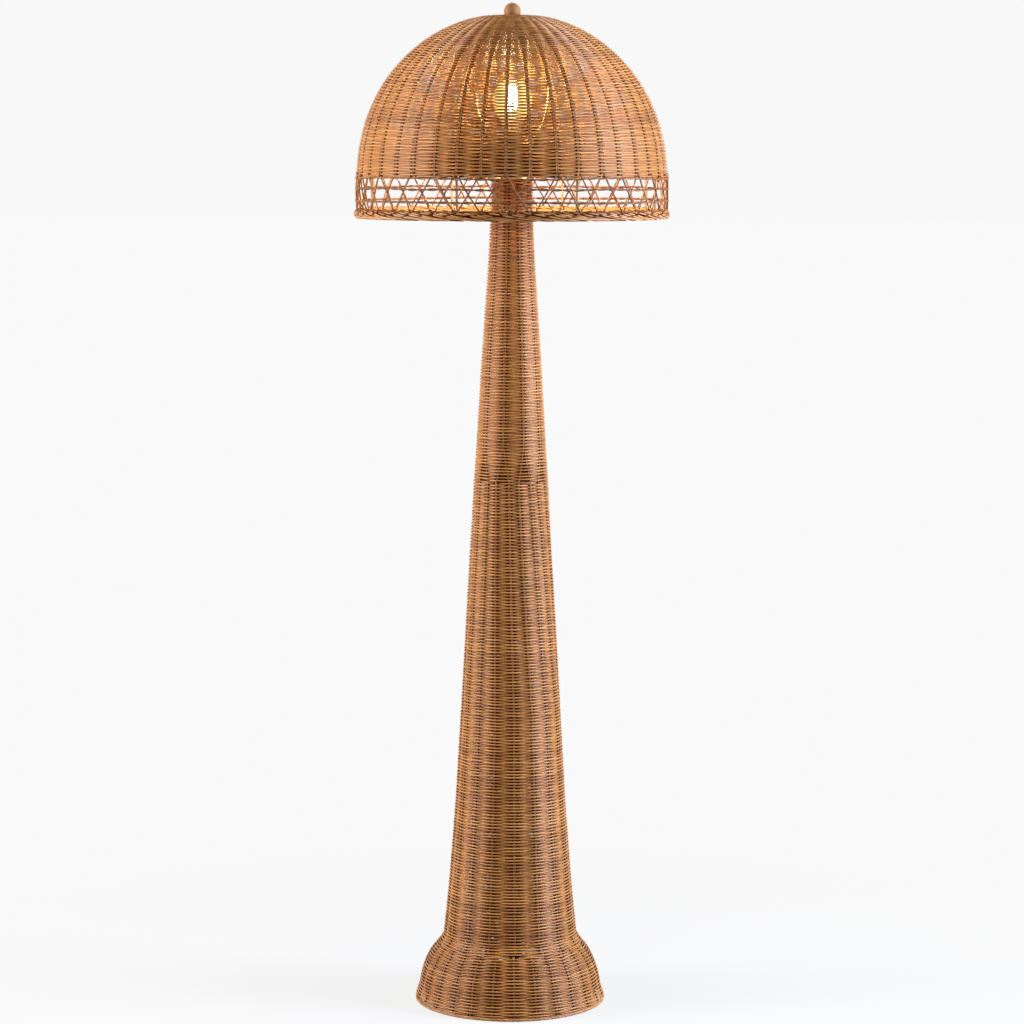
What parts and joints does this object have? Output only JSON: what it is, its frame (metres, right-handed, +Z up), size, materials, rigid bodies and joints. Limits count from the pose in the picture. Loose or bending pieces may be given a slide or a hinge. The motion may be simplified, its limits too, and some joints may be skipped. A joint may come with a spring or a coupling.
{
  "type": "floor lamp",
  "caption": "Woven rattan floor lamp: tapering column on a flared weighted foot, dome shade with an open lattice band on a harp, wooden ball finial.",
  "frame": {"origin": "on the floor, under the middle of the foot", "axes": "+Z up along the column, -Y towards the front; the harp lies in the XZ plane"},
  "size_m": [0.4774, 0.4774, 1.5239],
  "materials": {
    "rattan": "satin",
    "braid": "satin",
    "finial_wood": "satin",
    "brass": "brushed",
    "steel": "satin",
    "iron": "matte",
    "plastic": "gloss",
    "card": "matte",
    "pad": "matte",
    "glass": "gloss",
    "filament": "satin"
  },
  "bodies": {
    "base": {"base_pad": "pad", "base_weight": "iron", "lower_nut": "steel", "base_washer": "steel", "base_nut": "steel", "centre_pipe": "steel", "neck_washer": "brass", "neck_nut": "brass", "foot_weave": "rattan", "foot_braid": "braid", "cord_inlet": "plastic", "column_weave": "rattan", "column_lid": "brass", "low_spider": "steel", "top_spider": "steel", "column_rod_1": "steel", "column_rod_2": "steel", "column_rod_3": "steel", "column_rod_4": "steel", "harp_saddle": "brass", "harp_wire": "brass", "harp_stud": "brass", "socket_cap": "brass", "socket_shell": "brass", "socket_liner": "card", "socket_insulator": "plastic", "socket_thread": "brass", "socket_contact": "brass"},
    "ferrule_l": {"ferrule_left": "brass"},
    "ferrule_r": {"ferrule_right": "brass"},
    "switch": {"switch_shaft": "brass", "switch_knob": "plastic"},
    "bulb_core": {"bulb_tip": "steel"},
    "bulb": {"bulb_cap": "brass", "bulb_glass": "glass", "bulb_stem": "glass", "bulb_filament": "filament"},
    "shade": {"dome_weave": "rattan", "rim_lattice": "rattan", "rim_braid": "braid", "rim_ring": "steel", "shade_rib_1": "steel", "shade_rib_2": "steel", "shade_rib_3": "steel", "shade_rib_4": "steel", "shade_rib_5": "steel", "shade_rib_6": "steel", "shade_rib_7": "steel", "shade_rib_8": "steel", "shade_hub": "steel"},
    "finial_core": {"finial_insert": "brass"},
    "finial": {"finial_ball": "finial_wood"}
  },
  "joints": [
    {"name": "shade_lift", "type": "slide", "parent": "base", "child": "shade", "axis": [0, 0, 1], "range_m": [0, 0.33]},
    {"name": "finial_rise", "type": "slide", "parent": "shade", "child": "finial_core", "axis": [0, 0, 1], "range_m": [0, 0.0085]},
    {"name": "finial_turn", "type": "hinge", "parent": "finial_core", "child": "finial", "pos_m": [0, 0, 1.51], "axis": [0, 0, 1], "range_deg": [0, 3240]},
    {"name": "bulb_rise", "type": "slide", "parent": "base", "child": "bulb_core", "axis": [0, 0, 1], "range_m": [0, 0.0182]},
    {"name": "bulb_turn", "type": "hinge", "parent": "bulb_core", "child": "bulb", "pos_m": [0, 0, 1.32], "axis": [0, 0, 1], "range_deg": [0, 1800]},
    {"name": "switch_turn", "type": "hinge", "parent": "base", "child": "switch", "pos_m": [0, -0.02, 1.2916], "axis": [0, -1, 0], "continuous": true},
    {"name": "ferrule_left_lift", "type": "slide", "parent": "base", "child": "ferrule_l", "axis": [0, 0, 1], "range_m": [0, 0.012]},
    {"name": "ferrule_right_lift", "type": "slide", "parent": "base", "child": "ferrule_r", "axis": [0, 0, 1], "range_m": [0, 0.012]}
  ],
  "couplings": [
    {"joint": "finial_rise", "follows": "finial_turn", "m_per_rad": 0.00014972},
    {"joint": "bulb_rise", "follows": "bulb_turn", "m_per_rad": 0.00057757}
  ]
}
